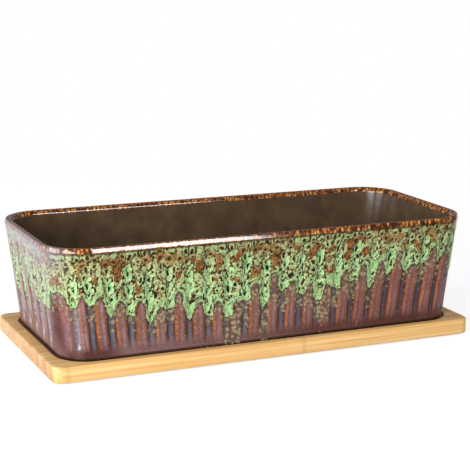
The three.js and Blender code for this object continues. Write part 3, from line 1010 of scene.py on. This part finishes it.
def bare_stoneware():
    """The unglazed foot ring: fired buff stoneware, dry and matt, with a fine grit of about 0.5 mm."""
    return clouded("bare_stoneware", 0.5, "b09a80", "cdbba2", 0.85, 1.5)


def pad_rubber():
    """Black moulded rubber feet: matt, with a faint grey bloom in clouds of about 2 mm."""
    return clouded("moulded_rubber", 2.0, "232221", "33312f", 0.8, 1.52)


def screen_polyethylene():
    """Moulded polyethylene mesh, dull olive green: waxy and slightly uneven over about 4 mm."""
    return clouded("screen_polyethylene", 4.0, "3a4234", "465040", 0.5, 1.5)


def bamboo_tone(tree, along, across):
    """How bright the bamboo is: each strip has its own tone, and darker knuckles at its own places."""
    strip = add(tree, "Math", {0: across, 1: 1 / STRIP_WIDTH}, operation="MULTIPLY")
    strip = add(tree, "Math", {0: strip}, operation="FLOOR")
    strip = add(tree, "TexWhiteNoise", {"W": strip}, noise_dimensions="1D")
    tone = add(tree, "MapRange", {"Value": strip, "To Min": 0.9, "To Max": 1.04})
    shift = add(tree, "Math", {0: strip, 1: 190.0}, operation="MULTIPLY")
    run = add(tree, "Math", {0: along, 1: shift}, operation="ADD")
    knuckle = add(tree, "Math", {0: run, 1: KNUCKLE_SPACING}, operation="FLOORED_MODULO")
    knuckle = add(tree, "Math", {0: knuckle, 1: KNUCKLE_SPACING / 2}, operation="SUBTRACT")
    knuckle = add(tree, "Math", {0: knuckle}, operation="ABSOLUTE")
    knuckle = add(tree, "MapRange", {
        "Value": knuckle, "From Min": 0.3, "From Max": 2.2, "To Min": 0.86, "To Max": 1.0,
    }, interpolation_type="SMOOTHSTEP")
    return add(tree, "Math", {0: tone, 1: knuckle}, operation="MULTIPLY")


def oiled_bamboo():
    """Laminated bamboo board, sanded and thinly oiled: honey strips about 19 mm wide, fine fibres along
    the length, and a darker knuckle across a strip here and there. It has a soft sheen."""
    material, tree = new_material("oiled_bamboo")
    mm = millimetres(tree)
    along, across, _ = add(tree, "SeparateXYZ", {0: mm}).node.outputs
    fibres = add(tree, "VectorMath", {0: mm, 1: (0.012, 1.0, 1.0)}, operation="MULTIPLY")
    fibre = add(tree, "TexNoise", {"Vector": fibres, "Scale": 1 / 1.3, "Detail": 4, "Roughness": 0.6})
    bands = add(tree, "TexNoise", {"Vector": fibres, "Scale": 1 / 5.0, "Detail": 2})
    colour = add(tree, "ValToRGB", {"Fac": fibre}, stops=[(0.3, "ca904a"), (0.5, "e8bb76"), (0.7, "f6d79c")])
    band_colour = add(tree, "ValToRGB", {"Fac": bands}, stops=[(0.35, "d89f58"), (0.65, "f9da9e")])
    colour = add(tree, "Mix", {0: 0.45, 6: colour, 7: band_colour}, data_type="RGBA")

    # The end grain at both ends of the board is browner
    end_grain = add(tree, "Math", {0: along}, operation="ABSOLUTE")
    end_grain = add(tree, "MapRange", {"Value": end_grain, "From Min": 138.0, "From Max": 138.8})
    browner = add(tree, "VectorMath", {0: colour, 1: (0.84, 0.8, 1.0)}, operation="MULTIPLY")
    colour = add(tree, "Mix", {0: end_grain, 6: colour, 7: browner}, data_type="RGBA")
    tone = bamboo_tone(tree, along, across)
    colour = add(tree, "VectorMath", {0: colour, 1: tone}, operation="MULTIPLY")
    grooves = add(tree, "Bump", {"Height": fibre, "Strength": 0.15, "Distance": 0.15 * MM})
    shader = add(tree, "BsdfPrincipled", {
        "Base Color": colour, "Roughness": 0.42, "IOR": 1.5, "Normal": grooves,
    })
    add(tree, "OutputMaterial", {"Surface": shader})
    return material


# The camera, fitted to the photograph's frame of 470 by 470 pixels
CAMERA_AZIMUTH = -24.53
CAMERA_ELEVATION = 12.0
CAMERA_ROLL = 0.69
CAMERA_DISTANCE = 862.9
CAMERA_TARGET = (-0.2, 0.0, 71.5)
CAMERA_SHIFT_PIXELS = -9.75
FRAME_PIXELS = 470
FOCAL_PIXELS = 1359.2
SENSOR = 36.0

# The world's light and its reflection in the object, what the floor adds to its own shading, and half the
# floor's length
WORLD_LIGHT = 0.24
WORLD_SHEEN = 0.25
FLOOR_GLOW = 0.6
FLOOR_HALF = 6000.0
WHITE = (1, 1, 1, 1)


def make_camera():
    """A camera that looks at the target from its azimuth and elevation, rolled about its own axis."""
    azimuth, elevation, roll = (math.radians(a) for a in (CAMERA_AZIMUTH, CAMERA_ELEVATION, CAMERA_ROLL))
    level = math.cos(elevation)
    back = Vector((math.sin(azimuth) * level, -math.cos(azimuth) * level, math.sin(elevation)))
    right = Vector((math.cos(azimuth), math.sin(azimuth), 0))
    up = back.cross(right)
    camera = bpy.data.objects.new("camera", bpy.data.cameras.new("camera"))
    camera.data.sensor_width = SENSOR
    camera.data.lens = FOCAL_PIXELS / FRAME_PIXELS * SENSOR
    camera.data.clip_start = 0.05
    camera.data.shift_y = CAMERA_SHIFT_PIXELS / FRAME_PIXELS
    rolled_right = math.cos(roll) * right + math.sin(roll) * up
    rolled_up = -math.sin(roll) * right + math.cos(roll) * up
    camera.matrix_world = Matrix.Translation((Vector(CAMERA_TARGET) + back * CAMERA_DISTANCE) * MM) @ Matrix((
        (rolled_right.x, rolled_up.x, back.x, 0),
        (rolled_right.y, rolled_up.y, back.y, 0),
        (rolled_right.z, rolled_up.z, back.z, 0),
        (0, 0, 0, 1),
    ))
    bpy.context.scene.collection.objects.link(camera)
    bpy.context.scene.camera = camera


def make_softbox(name, place, aim, size, power):
    """A rectangular softbox, in metres and watts, turned towards the aim."""
    lamp = bpy.data.lights.new(name, "AREA")
    lamp.shape = "RECTANGLE"
    lamp.size, lamp.size_y = size
    lamp.energy = power
    box = bpy.data.objects.new(name, lamp)
    box.location = place
    box.rotation_euler = (Vector(aim) - Vector(place)).to_track_quat("-Z", "Y").to_euler()
    bpy.context.scene.collection.objects.link(box)


def make_floor():
    """White paper that fades into the white world. The glaze reflects it as grey in front of the planter
    and as white behind it."""
    bm = bmesh.new()
    bmesh.ops.create_grid(bm, x_segments=1, y_segments=1, size=FLOOR_HALF)
    material, tree = new_material("white_floor")
    ray = add(tree, "LightPath").node.outputs
    place = add(tree, "TexCoord").node.outputs["Object"]
    behind = add(tree, "SeparateXYZ", {0: place}).node.outputs[1]
    behind = add(tree, "MapRange", {"Value": behind, "From Min": -0.05, "From Max": 0.12})
    behind = add(tree, "Math", {0: behind, 1: ray["Is Glossy Ray"]}, operation="MULTIPLY")
    seen = add(tree, "Math", {0: ray["Is Camera Ray"], 1: behind}, operation="MAXIMUM")
    glow = add(tree, "Math", {0: seen, 1: FLOOR_GLOW}, operation="MULTIPLY")
    dimmed = add(tree, "Math", {0: ray["Is Glossy Ray"], 1: behind}, operation="SUBTRACT")
    paper = add(tree, "Mix", {0: dimmed, 6: "f4f4f4", 7: "6c6c6c"}, data_type="RGBA")
    paper = add(tree, "BsdfDiffuse", {"Color": paper})
    light = add(tree, "Emission", {"Color": WHITE, "Strength": glow})
    near = add(tree, "AddShader", {0: paper, 1: light})
    far = add(tree, "Emission", {"Color": WHITE, "Strength": 1.0})
    away = add(tree, "VectorMath", {0: place}, operation="LENGTH")
    fade = add(tree, "MapRange", {
        "Value": away, "From Min": 0.25, "From Max": 0.7,
    }, interpolation_type="SMOOTHSTEP")
    fade = add(tree, "Math", {0: fade, 1: seen}, operation="MULTIPLY")
    surface = add(tree, "MixShader", {0: fade, 1: near, 2: far})
    add(tree, "OutputMaterial", {"Surface": surface})
    finished(bm, "floor", [material])


def make_world():
    """A world that the camera sees as white and that lights the planter less."""
    world = bpy.data.worlds.new("white_studio")
    world.use_nodes = True
    tree = world.node_tree
    tree.nodes.clear()
    ray = add(tree, "LightPath").node.outputs
    strength = add(tree, "MapRange", {
        "Value": ray["Is Glossy Ray"], "To Min": WORLD_LIGHT, "To Max": WORLD_SHEEN,
    })
    strength = add(tree, "Math", {0: strength, 1: ray["Is Camera Ray"]}, operation="MAXIMUM")
    sky = add(tree, "Background", {"Color": WHITE, "Strength": strength})
    add(tree, "OutputWorld", {"Surface": sky})
    bpy.context.scene.world = world


def make_studio():
    """The floor, the world, and softboxes at the left and in front."""
    make_floor()
    make_world()
    middle = (0, 0, 0.04)
    make_softbox("left_softbox", (-0.85, -0.74, 0.26), middle, (0.6, 0.42), 11)
    make_softbox("end_softbox", (-1.2, 0.0, 0.34), middle, (0.6, 0.6), 7)
    make_softbox("corner_softbox", (-0.64, -1.16, 0.22), middle, (0.12, 0.8), 0.35)
    make_softbox("lip_softbox", (0.47, -1.41, 0.74), (0, -0.06, 0.74), (0.38, 0.36), 9.5)


make_camera()
make_studio()
make_pot(reactive_glaze(), bare_stoneware())
make_tray(oiled_bamboo())
make_pads(pad_rubber())
make_screens(screen_polyethylene())

bpy.context.scene.view_settings.view_transform = "Standard"
